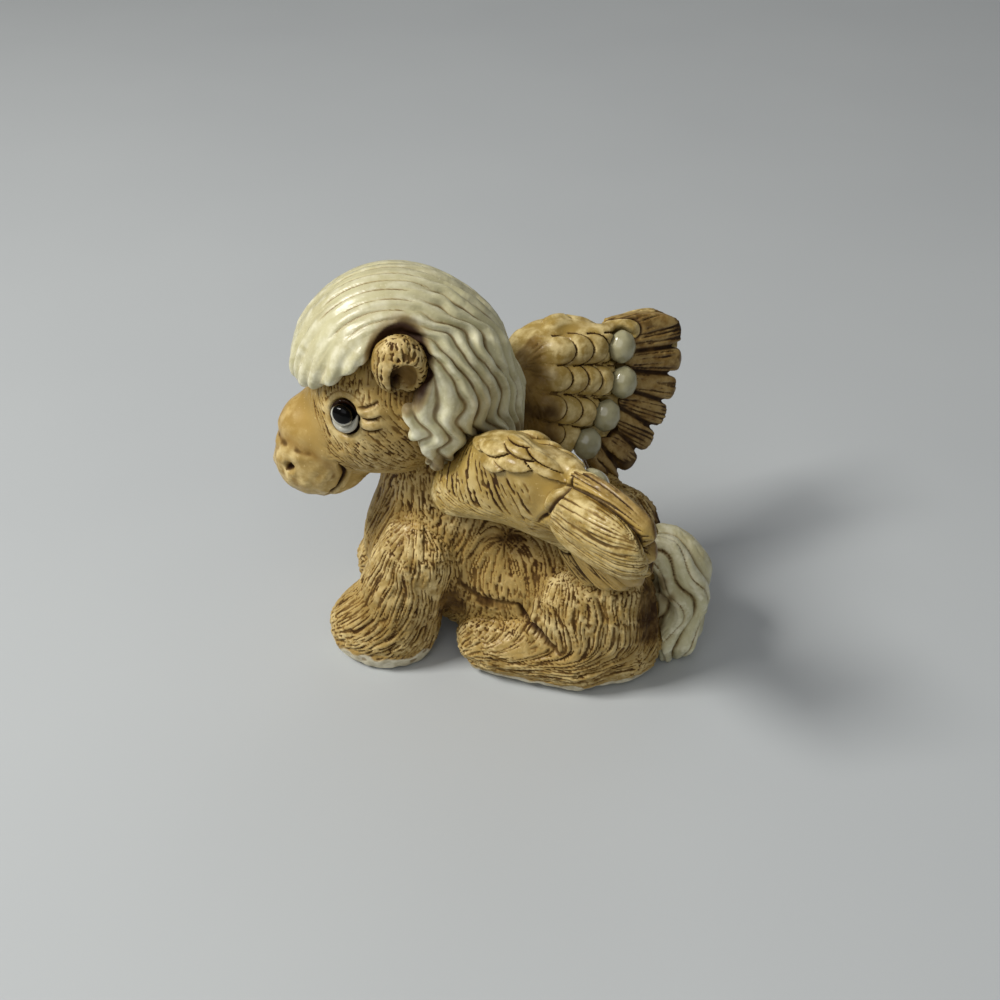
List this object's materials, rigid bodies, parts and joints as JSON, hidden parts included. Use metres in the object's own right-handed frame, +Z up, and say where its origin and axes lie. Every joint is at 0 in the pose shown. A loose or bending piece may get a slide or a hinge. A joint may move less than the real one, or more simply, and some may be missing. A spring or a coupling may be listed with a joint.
{
  "type": "winged foal figurine",
  "caption": "Small cast ornament of a lying winged foal, its head turned to one side, with a combed mane, raised feathered wings and a wavy tail. It rests on a flat underside.",
  "frame": {"origin": "on the plane that the foal rests on, a point of the flat underside of its belly in the middle plane of the body", "axes": "+Z up, -X towards the head end, +X towards the tail, -Y to the foal's own left, the side that its head turns to"},
  "size_m": [0.0469, 0.0432, 0.0466],
  "materials": {
    "coat": "satin, honey brown with a dark wash in the carved lines",
    "feather": "satin, olive brown with a dark wash in the carved lines",
    "cream_hair": "satin, cream with a thin brown wash",
    "hoof": "matt, off-white",
    "pearl": "gloss, pale cream",
    "eye_white": "gloss white",
    "eye_black": "gloss black"
  },
  "bodies": {
    "root": {"body": "coat", "head": "coat", "mane": "cream_hair", "tail": "cream_hair", "left_ear": "coat", "left_eyeball": "eye_white", "left_iris": "eye_black", "left_foreleg": "coat", "left_fore_hoof": "hoof", "left_hind_leg": "coat", "left_hind_hoof": "hoof", "left_wing_arm": "feather", "left_wing_coverts": "feather", "left_primary_feather_1": "feather", "left_primary_feather_2": "feather", "left_primary_feather_3": "feather", "left_primary_feather_4": "feather", "left_primary_feather_5": "feather", "left_primary_feather_6": "feather", "left_primary_feather_7": "feather", "left_pearl_feather_1": "pearl", "left_pearl_feather_2": "pearl", "left_pearl_feather_3": "pearl", "left_pearl_feather_4": "pearl", "right_ear": "coat", "right_eyeball": "eye_white", "right_iris": "eye_black", "right_foreleg": "coat", "right_fore_hoof": "hoof", "right_hind_leg": "coat", "right_hind_hoof": "hoof", "right_wing_arm": "feather", "right_wing_coverts": "feather", "right_primary_feather_1": "feather", "right_primary_feather_2": "feather", "right_primary_feather_3": "feather", "right_primary_feather_4": "feather", "right_primary_feather_5": "feather", "right_primary_feather_6": "feather", "right_primary_feather_7": "feather", "right_pearl_feather_1": "pearl", "right_pearl_feather_2": "pearl", "right_pearl_feather_3": "pearl", "right_pearl_feather_4": "pearl"}
  },
  "joints": []
}
